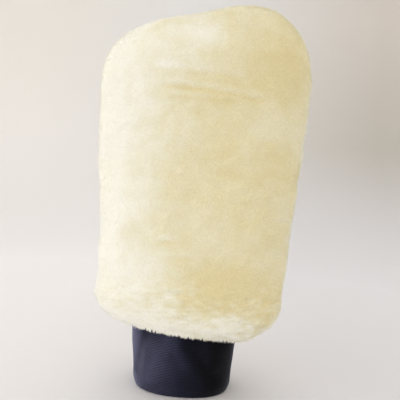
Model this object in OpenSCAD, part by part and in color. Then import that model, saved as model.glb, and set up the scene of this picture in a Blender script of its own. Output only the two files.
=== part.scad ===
// Wash mitt: two sheepskin panels sewn into a pouch, with a knitted lining and an elasticated cuff.
// The origin is the middle of the cuff's rim, +Z runs up the mitt to the fingertips and -Y is the palm side.

/* [Fleece] */
// Width of the fleece near the fingertips
fleece_top_w = 172; // [160:1:185]
// Width of the fleece just above the cuff
fleece_bottom_w = 153; // [140:1:160]
// Thickness of the fleece at the heel of the hand
fleece_bottom_d = 94; // [90:1:100]
// Thickness of the fleece at the fingertips
fleece_top_d = 88; // [86:1:92]
// Height of the fleece's top edge above the cuff's rim
fleece_top_z = 303; // [280:1:320]
// Height of the lowest wool tips above the cuff's rim
fleece_bottom_z = 44; // [40:1:50]
// Length of the wool between the hide and the sheared surface
pile_l = 25; // [22:1:28]

/* [Fingertips] */
// Rise of the top edge where the fingertips push it up
crest_h = 8; // [0:1:12]
// Place of that rise, from the middle of the mitt
crest_x = 37; // [20:1:45]
// Half the width of that rise
crest_w = 40; // [30:1:50]
// Slope of the top edge from the little finger's side to the other side
top_slope = 0.1; // [0:0.01:0.15]

/* [Hide and lining] */
// Thickness of the hide
hide_t = 1.4; // [1:0.1:1.6]
// Space between hide and lining, where the seams lie
seam_space = 1.8; // [1.7:0.1:2.2]
// Thickness of the lining's knit
lining_t = 0.9; // [0.6:0.1:1.1]

/* [Cuff] */
// Width of the cuff at its hem
cuff_hem_w = 79; // [74:1:82]
// Width of the cuff where it is sewn to the hides
cuff_top_w = 86; // [83:1:88]
// Depth of the cuff at its hem, palm to back
cuff_hem_d = 64; // [60:1:66]
// Depth of the cuff where it is sewn to the hides, palm to back
cuff_top_d = 68; // [66:1:70]
// Height of the cuff, from the rim to its sewn edge
cuff_h = 68; // [66:1:72]
// Thickness of one ply of the cuff's knit
ply_t = 1.3; // [1:0.1:1.4]
// Space between the cuff's two plies
ply_space = 1.6; // [1.6:0.1:2]

/* [Elastic and trimmings] */
// Width of the elastic in the hem
elastic_w = 22; // [15:1:30]
// Thickness of the elastic
elastic_t = 1; // [0.8:0.1:1]
// Thickness of the tape that covers the cuff's seam
tape_t = 0.8; // [0.5:0.1:1]
// Width of the care label
label_w = 18; // [12:1:22]
// Length of the care label
label_l = 28; // [20:1:32]

/* [Stitches] */
// Thickness of the thread in the two pouch seams
thread_d = 0.5; // [0.4:0.05:0.5]
// Thickness of the thread in the cuff's seams
cuff_thread_d = 0.6; // [0.4:0.05:0.65]
// Distance from one stitch to the next
stitch_step = 5.5; // [4:0.5:8]
// Length of one stitch
stitch_l = 3.4; // [2.5:0.1:3.8]

/* [Hidden] */

// Clear spaces: between the two halves, between layers, and between wool and cuff
half_gap = 0.15;
layer_gap = 0.3;
wool_gap = 0.9;
// Space between cuff and hide where the join is stitched
join_space = 1.2;

// The mouth of the pouch, where the hides end, and the height over which it flattens into the body
mouth_z = 57;
flare_from_z = 70;
flare_to_z = 135;
// Height between which the body widens and thins
taper_from_z = 70;
taper_to_z = 245;
// Height over which the fleece rounds in to the cuff, and heights of the two rounded tops
under_h = 32;
fleece_round_h = 60;
hide_round_h = 42;
// Height between which the fingertips' lift grows
lift_from_z = 200;
lift_to_z = 290;

// Roundness of each outline, as the exponent of a superellipse: 2 is an ellipse, more is squarer
cuff_round = 2.2;
body_round = 2.6;
under_round = 2.3;
top_round = 2.9;

// Points round half a layer, and rings up its underside, body and top
half_segs = 22;
under_rings = 5;
body_rings = 8;
top_rings = 12;
// Points round the whole of a cuff part, and points across its fold
cuff_segs = 48;
fold_points = 5;

// Colours
cream = [0.94, 0.9, 0.74];
suede = [0.86, 0.79, 0.66];
knit_white = [0.9, 0.9, 0.88];
navy = [0.13, 0.14, 0.24];
thread_cream = [0.88, 0.84, 0.7];
thread_navy = [0.2, 0.22, 0.34];
tape_grey = [0.45, 0.46, 0.5];
elastic_white = [0.85, 0.85, 0.85];
label_white = [0.95, 0.95, 0.94];

// ---- Shape rules ----

function mix(a, b, t) = a + (b - a) * t;

function ease(t) = let (u = max(0, min(1, t))) u * u * (3 - 2 * u);

// A point of the unit superellipse at angle a
function squircle(a, n) =
    let (r = pow(pow(abs(cos(a)), n) + pow(abs(sin(a)), n), -1 / n)) [r * cos(a), r * sin(a)];

// How far the fingertips lift a point
function lift(x, z) =
    ease((z - lift_from_z) / (lift_to_z - lift_from_z))
    * (top_slope * x + crest_h * exp(-pow((x - crest_x) / crest_w, 2)));

// Half width and half depth of the cuff's outer face at a height
function cuff_hw(z) = mix(cuff_hem_w, cuff_top_w, z / cuff_h) / 2;

function cuff_hd(z) = mix(cuff_hem_d, cuff_top_d, z / cuff_h) / 2;

// How far up the body's taper a height is
function taper(z) = ease((z - taper_from_z) / (taper_to_z - taper_from_z));

function fleece_hw(z) = mix(fleece_bottom_w, fleece_top_w, taper(z)) / 2;

function fleece_hd(z) = mix(fleece_bottom_d, fleece_top_d, taper(z)) / 2;

// The hides follow the cuff at the mouth, then flatten into the pouch
function flare(z) = ease((z - flare_from_z) / (flare_to_z - flare_from_z));

function hide_hw(z) =
    mix(cuff_hw(min(z, cuff_h)) + join_space + hide_t, fleece_hw(z) - pile_l, flare(z));

function hide_hd(z) =
    mix(cuff_hd(min(z, cuff_h)) + join_space + hide_t, fleece_hd(z) - pile_l, flare(z));

function hide_round(z) = mix(cuff_round, body_round, flare(z));

// A station is [half width, half depth, roundness, height]: one section through a layer.
// A pouch layer lies an inset inside the hide's outer face; u runs from its lower edge, 0, to its apex, 1.
body_share = body_rings / (body_rings + top_rings);

function pouch_station(inset, from_z, u) =
    let (
        round_h = hide_round_h - inset,
        shoulder_z = fleece_top_z - pile_l - hide_round_h,
        a = max(0, 90 * (u - body_share) / (1 - body_share)),
        s = squircle(a, top_round),
        z = u < body_share ? mix(from_z, shoulder_z, u / body_share) : shoulder_z + round_h * s[1]
    )
    [(hide_hw(z) - inset) * s[0], (hide_hd(z) - inset) * s[0], hide_round(z), z];

function pouch_stations(inset, from_z) =
    let (count = body_rings + top_rings) [for (i = [0:count - 1]) pouch_station(inset, from_z, i / count)];

// The fleece's underside, from the cuff out to the body
function under_stations() =
    [for (i = [0:under_rings - 1])
        let (
            s = squircle(90 * i / under_rings - 90, under_round),
            z = fleece_bottom_z + under_h * (1 + s[1])
        )
        [
            mix(cuff_hw(z) + wool_gap, fleece_hw(z), s[0]),
            mix(cuff_hd(z) + wool_gap, fleece_hd(z), s[0]),
            mix(cuff_round, body_round, s[0]),
            z
        ]];

function side_stations() =
    let (from_z = fleece_bottom_z + under_h, to_z = fleece_top_z - fleece_round_h)
    [for (i = [0:body_rings - 1])
        let (z = mix(from_z, to_z, i / body_rings)) [fleece_hw(z), fleece_hd(z), body_round, z]];

function crown_stations() =
    let (shoulder_z = fleece_top_z - fleece_round_h)
    [for (i = [0:top_rings - 1])
        let (s = squircle(90 * i / top_rings, top_round), z = shoulder_z + fleece_round_h * s[1])
        [fleece_hw(z) * s[0], fleece_hd(z) * s[0], body_round, z]];

// The fleece's inner face: up the cuff, out under the hide's edge, then over the hide
function root_stations() =
    let (to_z = mouth_z - layer_gap, from_z = fleece_bottom_z + 2)
    concat(
        [for (i = [0:under_rings - 1])
            let (z = mix(from_z, to_z, i / (under_rings - 1)))
            [cuff_hw(z) + wool_gap, cuff_hd(z) + wool_gap, cuff_round, z]],
        pouch_stations(-layer_gap, to_z));

// ---- Solids from stations ----

function half_ring(s) =
    [for (j = [0:half_segs])
        let (p = squircle(180 * j / half_segs, s[2]), x = s[0] * p[0])
        [x, half_gap + s[1] * p[1], s[3] + lift(x, s[3])]];

function flatten(lists) = [for (l = lists) each l];

function reversed(list) = [for (i = [len(list) - 1:-1:0]) list[i]];

// One quad as two triangles
function quad(a, b, c, d) = [[a, c, b], [a, d, c]];

// Half of a closed-top shell on the +Y side, between an outer and an inner list of stations
module half_shell(outer, inner, outer_top, inner_top) {
    rings = len(outer);
    row = half_segs + 1;
    points = concat(
        flatten([for (s = outer) half_ring(s)]),
        flatten([for (s = inner) half_ring(s)]),
        [[0, half_gap, outer_top + lift(0, outer_top)], [0, half_gap, inner_top + lift(0, inner_top)]]);
    base = rings * row;
    out_apex = 2 * base;
    in_apex = out_apex + 1;
    last = (rings - 1) * row;
    walls = [for (i = [0:rings - 2]) for (j = [0:half_segs - 1])
        let (a = i * row + j, b = a + row)
        each concat(quad(a, a + 1, b + 1, b), quad(base + a, base + b, base + b + 1, base + a + 1))];
    caps = [for (j = [0:half_segs - 1])
        let (a = last + j)
        each [[a + 1, a, out_apex], [base + a, base + a + 1, in_apex]]];
    hem = [for (j = [0:half_segs - 1]) each quad(j, base + j, base + j + 1, j + 1)];
    parting = [for (i = [0:rings - 2])
        let (a = i * row, b = a + row, c = a + half_segs, d = b + half_segs)
        each concat(quad(a, b, base + b, base + a), quad(c, base + c, base + d, d))];
    crown = concat(
        quad(last, out_apex, in_apex, base + last),
        quad(last + half_segs, base + last + half_segs, in_apex, out_apex));
    polyhedron(points, concat(walls, caps, hem, parting, crown), convexity = 6);
}

// A ring swept round the cuff: each profile point is [inset from the cuff's outer face, height]
module cuff_loop(profile) {
    count = len(profile);
    points = [for (i = [0:cuff_segs - 1]) for (p = profile)
        let (s = squircle(360 * i / cuff_segs, cuff_round))
        [(cuff_hw(p[1]) - p[0]) * s[0], (cuff_hd(p[1]) - p[0]) * s[1], p[1]]];
    faces = [for (i = [0:cuff_segs - 1]) for (k = [0:count - 1])
        let (a = i * count, b = ((i + 1) % cuff_segs) * count, m = (k + 1) % count)
        each quad(a + k, a + m, b + m, b + k)];
    polyhedron(points, faces, convexity = 6);
}

// ---- Stitches ----

// Distance of each point of a path from its start
function distances(points, i = 0, total = 0) =
    i == len(points)
        ? []
        : let (next = total + (i == 0 ? 0 : norm(points[i] - points[i - 1])))
          concat([next], distances(points, i + 1, next));

// The outline of a pouch layer where its halves meet, as [x, z], from the right edge over the top to the left
function outline(inset, from_z) =
    let (
        stations = pouch_stations(inset, from_z),
        top = fleece_top_z - pile_l - inset,
        right = [for (s = stations) [s[0], s[3] + lift(s[0], s[3])]],
        left = [for (s = stations) [-s[0], s[3] + lift(-s[0], s[3])]]
    )
    concat(right, [[0, top + lift(0, top)]], reversed(left));

// One stitch: a short bar of thread along Y
module stitch(d) {
    rotate([90, 0, 0])
        cylinder(d = d, h = stitch_l, center = true, $fn = 24);
}

// A bar for each step along a path of [across, up] points: the child is drawn at each with Y across the path
module along_path(points) {
    reach = distances(points);
    length = reach[len(reach) - 1];
    first = [for (i = [0:len(points) - 1]) [reach[i], points[i][0]]];
    second = [for (i = [0:len(points) - 1]) [reach[i], points[i][1]]];
    count = floor(length / stitch_step);
    for (i = [0:count - 1]) {
        s = (i + 0.5) * length / count;
        $place = [lookup(s, first), lookup(s, second)];
        $heading = atan2(
            lookup(s + 1, first) - lookup(s - 1, first),
            lookup(s + 1, second) - lookup(s - 1, second));
        children();
    }
}

// Slant of the stitches that cross a seam
whip_slant = 22;

// A row of slanted stitches over the edge where two halves of a layer meet
module outline_stitches(inset, from_z) {
    along_path(outline(inset, from_z))
        if ($place[1] > seams_from_z)
            translate([$place[0], 0, $place[1]])
                rotate([0, $heading, 0])
                    rotate([whip_slant, 0, 0])
                        stitch(thread_d);
}

// ---- Sub-parts ----

// The wool of one panel; the other panel is its mirror image
module fleece_half() {
    half_shell(
        concat(under_stations(), side_stations(), crown_stations()),
        root_stations(),
        fleece_top_z,
        fleece_top_z - pile_l + layer_gap);
}

// One half of a layer of the pouch, between two insets from the hide's outer face
module pouch_half(inset, thickness, from_z) {
    top = fleece_top_z - pile_l;
    half_shell(
        pouch_stations(inset, from_z),
        pouch_stations(inset + thickness, from_z),
        top - inset,
        top - inset - thickness);
}

module palm_fleece() {
    color(cream) mirror([0, 1, 0]) fleece_half();
}

module back_fleece() {
    color(cream) fleece_half();
}

module palm_hide() {
    color(suede) mirror([0, 1, 0]) pouch_half(0, hide_t, mouth_z);
}

module back_hide() {
    color(suede) pouch_half(0, hide_t, mouth_z);
}

// The lining starts just above the cuff's sewn edge
lining_inset = hide_t + seam_space;
lining_from_z = cuff_h + 2;

module palm_lining() {
    color(knit_white) mirror([0, 1, 0]) pouch_half(lining_inset, lining_t, lining_from_z);
}

module back_lining() {
    color(knit_white) pouch_half(lining_inset, lining_t, lining_from_z);
}

// Both pouch seams lie between hide and lining: the shell's against the hide, the lining's against the knit
thread_gap = 0.2;
seams_from_z = lining_from_z + 3;

module shell_seam_stitches() {
    color(thread_cream) outline_stitches(hide_t + thread_gap + thread_d / 2, mouth_z);
}

module lining_seam_stitches() {
    color(knit_white) outline_stitches(lining_inset - thread_gap - thread_d / 2, lining_from_z);
}

// The cuff is one knitted tube, folded double at the hem, with the fold pressed flat at the rim
cuff_t = 2 * ply_t + ply_space;
fold_r = cuff_t / 2;
rim_flat = 0.5;
knit_rows_z = [for (i = [0:2]) mix(fold_r, cuff_h, i / 2)];

// Points of the fold, at a radius, from the outer ply to the inner one
function fold(r) =
    [for (i = [1:fold_points])
        let (a = 180 * i / (fold_points + 1)) [fold_r - r * cos(a), fold_r - rim_flat - r * sin(a)]];

module cuff_band() {
    profile = concat(
        [for (z = reversed(knit_rows_z)) [0, z]],
        fold(fold_r),
        [for (z = knit_rows_z) [cuff_t, z]],
        [for (z = reversed(knit_rows_z)) [cuff_t - ply_t, z]],
        reversed(fold(fold_r - ply_t)),
        [for (z = knit_rows_z) [ply_t, z]]);
    color(navy) intersection() {
        cuff_loop(profile);
        translate([-cuff_top_w, -cuff_top_w, 0])
            cube([2 * cuff_top_w, 2 * cuff_top_w, 2 * cuff_h]);
    }
}

// The tube's closing seam, a zigzag column of stitches down the middle of the back
side_seam_slant = 24;

module cuff_side_seam_stitches() {
    step = stitch_step / 2;
    lean = atan2(cuff_top_d - cuff_hem_d, 2 * cuff_h);
    color(thread_navy)
        for (i = [1:floor((mouth_z - fold_r) / step) - 1]) {
            z = fold_r + i * step;
            translate([0, cuff_hd(z) + thread_gap + cuff_thread_d / 2, z])
                rotate([-lean, (i % 2 == 0 ? 1 : -1) * side_seam_slant, 90])
                    stitch(cuff_thread_d);
        }
}

// The join of cuff and hides, stitched round the mouth
join_z = 62;

module cuff_join_stitches() {
    ring = [for (i = [0:cuff_segs])
        let (s = squircle(360 * i / cuff_segs, cuff_round))
        [(cuff_hw(join_z) + join_space / 2) * s[0], (cuff_hd(join_z) + join_space / 2) * s[1]]];
    color(thread_cream)
        along_path(ring)
            translate([$place[0], $place[1], join_z])
                rotate([0, 0, -$heading])
                    stitch(thread_d);
}

// The tape lies on the cuff's inner ply, then steps out over the lining's lower edge
tape_from_z = 58;
tape_to_z = 84;
tape_step_z = 70.5;

module seam_tape() {
    low = cuff_t + layer_gap;
    face = [for (z = [tape_from_z, cuff_h - 1]) [low, z]];
    color(tape_grey) cuff_loop(concat(
        [[low, tape_to_z], [low, tape_step_z]],
        reversed(face),
        [for (p = face) p + [tape_t, 0]],
        [[low + tape_t, tape_step_z], [low + tape_t, tape_to_z]]));
}

// The elastic lies between the plies, just above the fold
elastic_from_z = 3.5;

module hem_elastic() {
    inset = ply_t + (ply_space - elastic_t) / 2;
    rows = [elastic_from_z, elastic_from_z + elastic_w];
    color(elastic_white)
        cuff_loop(concat([for (z = reversed(rows)) [inset, z]], [for (z = rows) [inset + elastic_t, z]]));
}

// The care label hangs from the seam at the back, inside the opening
label_t = 0.5;
label_top_z = 66;
label_y = cuff_hd(tape_from_z) - cuff_t - layer_gap - tape_t - 2;

module care_label() {
    color(label_white)
        translate([-label_w / 2, label_y - label_t, label_top_z - label_l])
            cube([label_w, label_t, label_l]);
}

// Short bars of thread hold the label's top edge to the tape
label_stitch_step = 5;

module label_stitches() {
    color(thread_cream)
        for (x = [-label_stitch_step, 0, label_stitch_step])
            translate([x, label_y + thread_gap + thread_d / 2, label_top_z - 2])
                rotate([0, 0, 90])
                    stitch(thread_d);
}

palm_fleece();
back_fleece();
palm_hide();
back_hide();
shell_seam_stitches();
palm_lining();
back_lining();
lining_seam_stitches();
cuff_band();
cuff_side_seam_stitches();
cuff_join_stitches();
seam_tape();
hem_elastic();
care_label();
label_stitches();
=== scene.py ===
"""Looks of a sheepskin wash mitt: dense wool on both sides, a navy knitted cuff, lining and trimmings."""

import math

import bpy
import numpy as np
from mathutils import Matrix, Vector, kdtree, noise


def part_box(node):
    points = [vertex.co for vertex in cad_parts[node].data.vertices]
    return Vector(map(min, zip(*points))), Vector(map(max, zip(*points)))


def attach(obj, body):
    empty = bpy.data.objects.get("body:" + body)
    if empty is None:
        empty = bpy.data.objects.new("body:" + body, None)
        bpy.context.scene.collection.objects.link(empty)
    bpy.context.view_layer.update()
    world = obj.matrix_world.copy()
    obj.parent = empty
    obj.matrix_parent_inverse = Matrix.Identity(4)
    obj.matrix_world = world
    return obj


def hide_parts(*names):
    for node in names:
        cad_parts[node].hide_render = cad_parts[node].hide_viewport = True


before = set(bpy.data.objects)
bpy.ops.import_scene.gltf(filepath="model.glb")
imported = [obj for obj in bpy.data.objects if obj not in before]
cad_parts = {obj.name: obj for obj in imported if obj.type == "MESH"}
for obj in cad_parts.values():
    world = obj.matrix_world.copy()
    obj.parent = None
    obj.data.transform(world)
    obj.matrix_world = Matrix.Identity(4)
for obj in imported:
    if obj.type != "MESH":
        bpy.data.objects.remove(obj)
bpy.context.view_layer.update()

MM = 0.001
BODY = "root"
# Noise vectors are shifted by a seed, which Blender takes from the clock unless it is set
noise.seed_set(5)


# ---- Shape rules: the CAD's own, in millimetres, with angles in radians ----

def box_mm(node):
    low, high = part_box(node)
    return np.array(low) / MM, np.array(high) / MM


fleece_low, fleece_high = box_mm("palm_fleece")
hide_low, _ = box_mm("palm_hide")
_, cuff_high = box_mm("cuff_band")

FLEECE_TOP_HW = fleece_high[0]
FLEECE_BOTTOM_HW = 76.5
FLEECE_BOTTOM_HD = -fleece_low[1]
FLEECE_TOP_HD = 44.0
FLEECE_TOP_Z = 303.0
FLEECE_BOTTOM_Z = fleece_low[2]
PILE_L = 25.0
CREST_H = 8.0
CREST_X = 37.0
CREST_W = 40.0
TOP_SLOPE = 0.1
CUFF_H = cuff_high[2]
CUFF_TOP_HW = cuff_high[0]
CUFF_TOP_HD = cuff_high[1]
CUFF_HEM_HW = 39.5
CUFF_HEM_HD = 32.0
PLY_T = 1.3
CUFF_T = 4.2
HIDE_T = 1.4
SEAM_SPACE = 1.8
LINING_T = 0.9
JOIN_SPACE = 1.2
HALF_GAP = 0.15
COAT_GAP = 0.02
WOOL_GAP = 0.9
MOUTH_Z = hide_low[2]
UNDER_H = 32.0
FLEECE_ROUND_H = 60.0
HIDE_ROUND_H = 42.0
CUFF_ROUND = 2.2
BODY_ROUND = 2.6
UNDER_ROUND = 2.3
TOP_ROUND = 2.9


def mix(a, b, t):
    return a + (b - a) * t


def ease(t):
    u = np.clip(t, 0, 1)
    return u * u * (3 - 2 * u)


def squircle(a, n):
    c, s = np.cos(a), np.sin(a)
    r = (np.abs(c) ** n + np.abs(s) ** n) ** (-1 / n)
    return r * c, r * s


def lift(x, z):
    bump = CREST_H * np.exp(-(((x - CREST_X) / CREST_W) ** 2))
    return ease((z - 200) / 90) * (TOP_SLOPE * x + bump)


def taper(z):
    return ease((z - 70) / 175)


def flare(z):
    return ease((z - 70) / 65)


def cuff_hw(z):
    return mix(CUFF_HEM_HW, CUFF_TOP_HW, z / CUFF_H)


def cuff_hd(z):
    return mix(CUFF_HEM_HD, CUFF_TOP_HD, z / CUFF_H)


def fleece_hw(z):
    return mix(FLEECE_BOTTOM_HW, FLEECE_TOP_HW, taper(z))


def fleece_hd(z):
    return mix(FLEECE_BOTTOM_HD, FLEECE_TOP_HD, taper(z))


def hide_hw(z):
    mouth = cuff_hw(np.minimum(z, CUFF_H)) + JOIN_SPACE + HIDE_T
    return mix(mouth, fleece_hw(z) - PILE_L, flare(z))


def hide_hd(z):
    mouth = cuff_hd(np.minimum(z, CUFF_H)) + JOIN_SPACE + HIDE_T
    return mix(mouth, fleece_hd(z) - PILE_L, flare(z))


def on_section(hw, hd, roundness, z, phi):
    """Points at angle phi of the sections with these half widths, half depths, roundness and heights."""
    c, s = squircle(phi, roundness)
    x, y = hw * c, hd * s
    z = z + lift(x, z)
    return np.stack(np.broadcast_arrays(x, y, z), -1)


# v runs up the pile: the underside, the side and the crown meet at these values
UNDER_V = 0.12
CROWN_V = 0.74


def stretches(v):
    """How far along the underside, the side and the crown each v is."""
    under = np.clip(v / UNDER_V, 0, 1)
    side = np.clip((v - UNDER_V) / (CROWN_V - UNDER_V), 0, 1)
    crown = np.clip((v - CROWN_V) / (1 - CROWN_V), 0, 1)
    return under, side, crown


# Where the worn wool is pressed in (below 0) or out: at each edge, by height and reach along it
LEFT_EDGE = ((150, 400, -0.9), (125, 42, -2.6), (290, 16, -0.4))
RIGHT_EDGE = ((117, 28, 1.6), (250, 18, 1.0), (298, 12, -0.6))


def settled(points):
    """The wool's shape on the hand: uneven edges, and a top a little lower than the plain shape."""
    x, z = points[..., 0], points[..., 2]
    moved = points.copy()
    for sign, edge in ((-1, LEFT_EDGE), (1, RIGHT_EDGE)):
        out = sum(amount * np.exp(-(((z - middle) / reach) ** 2)) for middle, reach, amount in edge)
        moved[..., 0] += sign * out * np.clip(sign * x / FLEECE_TOP_HW, 0, 1) ** 2 * ease((z - 60) / 30)
    moved[..., 2] -= 1.7 * ease((z - 245) / 45)
    return moved


def tips(v, phi):
    """The sheared surface of the wool."""
    under, side, crown = stretches(v)
    cu, su = squircle(np.radians(90) * (under - 1), UNDER_ROUND)
    cc, sc = squircle(np.radians(90) * crown, TOP_ROUND)
    from_z, to_z = FLEECE_BOTTOM_Z + UNDER_H, FLEECE_TOP_Z - FLEECE_ROUND_H
    z = FLEECE_BOTTOM_Z + UNDER_H * (1 + su) + (to_z - from_z) * side + FLEECE_ROUND_H * sc
    hw = mix(cuff_hw(z) + WOOL_GAP, fleece_hw(z), cu) * cc
    hd = mix(cuff_hd(z) + WOOL_GAP, fleece_hd(z), cu) * cc
    return settled(on_section(hw, hd, mix(CUFF_ROUND, BODY_ROUND, cu), z, phi))


# The share of u that the pouch's straight side takes up
SHOULDER_U = 0.4
# How far the wool's foot stays off the hide
ROOT_GAP = 0.3


def pouch(inset, from_z, u, phi):
    """A layer of the pouch, an inset inside the hide's outer face; u runs from its lower edge to its top."""
    shoulder = FLEECE_TOP_Z - PILE_L - HIDE_ROUND_H
    cc, sc = squircle(np.radians(90) * np.clip((u - SHOULDER_U) / (1 - SHOULDER_U), 0, 1), TOP_ROUND)
    z = mix(from_z, shoulder, np.clip(u / SHOULDER_U, 0, 1)) + (HIDE_ROUND_H - inset) * sc
    roundness = mix(CUFF_ROUND, BODY_ROUND, flare(z))
    return on_section((hide_hw(z) - inset) * cc, (hide_hd(z) - inset) * cc, roundness, z, phi)


def roots(v, phi):
    """The foot of the wool on the hide, under each point of tips()."""
    under, side, crown = stretches(v)
    low, high = MOUTH_Z - ROOT_GAP, FLEECE_TOP_Z - PILE_L - HIDE_ROUND_H
    turn = 66.0
    z = mix(low, turn, under) + (high - turn) * side
    u = SHOULDER_U * (z - low) / (high - low) + (1 - SHOULDER_U) * crown
    return pouch(-ROOT_GAP, low, u, phi)


def unit(a):
    return a / np.maximum(np.linalg.norm(a, axis=-1, keepdims=True), 1e-9)


def surface_frame(surface, v, phi):
    """Outward normal and area element of a surface at v and phi."""
    e = 1e-4
    up = surface(np.minimum(v + e, 1 - e), phi) - surface(np.maximum(v - e, 0), phi)
    along = surface(v, phi + e) - surface(v, phi - e)
    cross = np.cross(along, up)
    return unit(cross), np.linalg.norm(cross, axis=-1)


# ---- Noise ----

def noise_at(points, scale, seed):
    """Smooth noise from about -1 to 1 at points in millimetres, for features of about this size."""
    offset = Vector((seed * 17.3, seed * 5.1, seed * 9.7))
    found = [noise.noise(Vector(p) / scale + offset) for p in points.reshape(-1, 3)]
    return np.array(found).reshape(points.shape[:-1])


def noise_vectors(points, scale, seed):
    """Smooth vectors that wander in the same way, each part from about -1 to 1."""
    offset = Vector((seed * 11.9, seed * 7.7, seed * 3.3))
    found = [noise.noise_vector(Vector(p) / scale + offset) for p in points.reshape(-1, 3)]
    return np.array(found).reshape(points.shape)


# ---- Meshes ----

def mesh_object(name, points, faces, material, smooth=True):
    """A mesh from points in millimetres and faces that all have the same number of corners."""
    faces = np.asarray(faces, np.int32)
    count, corners = faces.shape
    me = bpy.data.meshes.new(name)
    me.vertices.add(len(points))
    me.vertices.foreach_set("co", (np.asarray(points, np.float32) * MM).ravel())
    me.loops.add(count * corners)
    me.loops.foreach_set("vertex_index", faces.ravel())
    me.polygons.add(count)
    me.polygons.foreach_set("loop_start", np.arange(count, dtype=np.int32) * corners)
    me.polygons.foreach_set("use_smooth", np.full(count, smooth))
    me.update(calc_edges=True)
    me.materials.append(material)
    ob = bpy.data.objects.new(name, me)
    bpy.context.scene.collection.objects.link(ob)
    return ob


def place(ob, slot, *nodes):
    """Rides the piece on the body, in place of CAD nodes. The slot is not used."""
    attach(ob, BODY)
    if nodes:
        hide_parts(*nodes)
    return ob


def half_shell(name, outer, inner, outer_apex, inner_apex, material):
    """A closed half layer between two grids of points, rows from the lower edge up, with an apex each."""
    rows, cols = outer.shape[:2]
    base = rows * cols
    i, j = np.meshgrid(np.arange(rows - 1), np.arange(cols - 1), indexing="ij")
    a = (i * cols + j).ravel()
    tri = []

    def quads(p, q, r, s):
        tri.extend([np.stack([p, q, r], 1), np.stack([p, r, s], 1)])

    quads(a, a + 1, a + cols + 1, a + cols)
    quads(base + a, base + a + cols, base + a + cols + 1, base + a + 1)
    top = (rows - 1) * cols + np.arange(cols - 1)
    out_apex = np.full(cols - 1, 2 * base)
    tri.append(np.stack([top, top + 1, out_apex], 1))
    tri.append(np.stack([base + top + 1, base + top, out_apex + 1], 1))
    hem = np.arange(cols - 1)
    quads(hem, base + hem, base + hem + 1, hem + 1)
    b = np.arange(rows - 1) * cols
    c = b + cols - 1
    quads(b, b + cols, base + b + cols, base + b)
    quads(c, base + c, base + c + cols, c + cols)
    last, end = (rows - 1) * cols, rows * cols - 1
    one = [np.array([k]) for k in (last, 2 * base, 2 * base + 1, base + last)]
    quads(*one)
    two = [np.array([k]) for k in (end, base + end, 2 * base + 1, 2 * base)]
    quads(*two)
    points = np.concatenate([outer.reshape(-1, 3), inner.reshape(-1, 3), [outer_apex, inner_apex]])
    return mesh_object(name, points, np.concatenate(tri), material)


def to_side(points, side, gap=HALF_GAP):
    """Half a layer moved off the parting plane: side is -1 for the palm and 1 for the back."""
    moved = points.copy()
    moved[..., 1] = side * (np.abs(points[..., 1]) + gap)
    return moved


def half_grid(rows, cols, side):
    """Rows of v and columns of phi over one half, wound so that the faces look outward."""
    v = np.linspace(0, 1, rows, endpoint=False)
    phi = np.linspace(0, np.pi, cols) * side
    return np.meshgrid(v, phi, indexing="ij")


# ---- Materials ----

def new_material(name, colour, roughness, **values):
    m = bpy.data.materials.new(name)
    m.use_nodes = True
    p = m.node_tree.nodes["Principled BSDF"]
    p.inputs["Base Color"].default_value = (*colour, 1)
    p.inputs["Roughness"].default_value = roughness
    for key, value in values.items():
        p.inputs[key.replace("_", " ")].default_value = value
    return m, m.node_tree, p


def mixed(a, b, t):
    return tuple(mix(x, y, t) for x, y in zip(a, b))


def add(tree, kind, **values):
    node = tree.nodes.new(kind)
    for key, value in values.items():
        setattr(node, key, value)
    return node


def ramp(tree, factor, stops):
    """A colour ramp through (place, colour) stops."""
    node = add(tree, "ShaderNodeValToRGB")
    elements = node.color_ramp.elements
    while len(elements) < len(stops):
        elements.new(0.5)
    for element, (at, colour) in zip(elements, stops):
        element.position = at
        element.color = (*colour, 1)
    tree.links.new(factor, node.inputs["Fac"])
    return node.outputs["Color"]


def share_between(tree, value, low, high):
    """Where a value lies between two others, from 0 to 1."""
    node = add(tree, "ShaderNodeMapRange")
    node.inputs["From Min"].default_value = low
    node.inputs["From Max"].default_value = high
    tree.links.new(value, node.inputs["Value"])
    return node.outputs["Result"]


def blend_colours(tree, how, factor, a, b):
    """A colour mix, whose factor and colours are either values or sockets."""
    node = add(tree, "ShaderNodeMix", data_type="RGBA", blend_type=how)
    for socket, value in zip((node.inputs[0], node.inputs[6], node.inputs[7]), (factor, a, b)):
        if isinstance(value, bpy.types.NodeSocket):
            tree.links.new(value, socket)
        else:
            socket.default_value = value
    return node.outputs[2]


def object_noise(tree, scale, detail=3.0, rough=0.55):
    where = add(tree, "ShaderNodeTexCoord")
    node = add(tree, "ShaderNodeTexNoise")
    node.inputs["Scale"].default_value = scale
    node.inputs["Detail"].default_value = detail
    node.inputs["Roughness"].default_value = rough
    tree.links.new(where.outputs["Object"], node.inputs["Vector"])
    return node.outputs["Fac"]


def bump(tree, principled, height, distance, strength=1.0):
    node = add(tree, "ShaderNodeBump")
    node.inputs["Distance"].default_value = distance
    node.inputs["Strength"].default_value = strength
    tree.links.new(height, node.inputs["Height"])
    tree.links.new(node.outputs["Normal"], principled.inputs["Normal"])


# ---- Lights, stage and camera ----

def soft_sun(name, way, spread, strength, colour):
    """A broad even light that comes from this way."""
    data = bpy.data.lights.new(name, "SUN")
    data.angle = math.radians(spread)
    data.energy = strength
    data.color = colour
    # Broad suns that overlap in the sky dim each other otherwise
    data.cycles.use_multiple_importance_sampling = False
    ob = bpy.data.objects.new(name, data)
    ob.rotation_mode = "QUATERNION"
    ob.rotation_quaternion = (-Vector(way)).to_track_quat("-Z", "Y")
    bpy.context.scene.collection.objects.link(ob)


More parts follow.
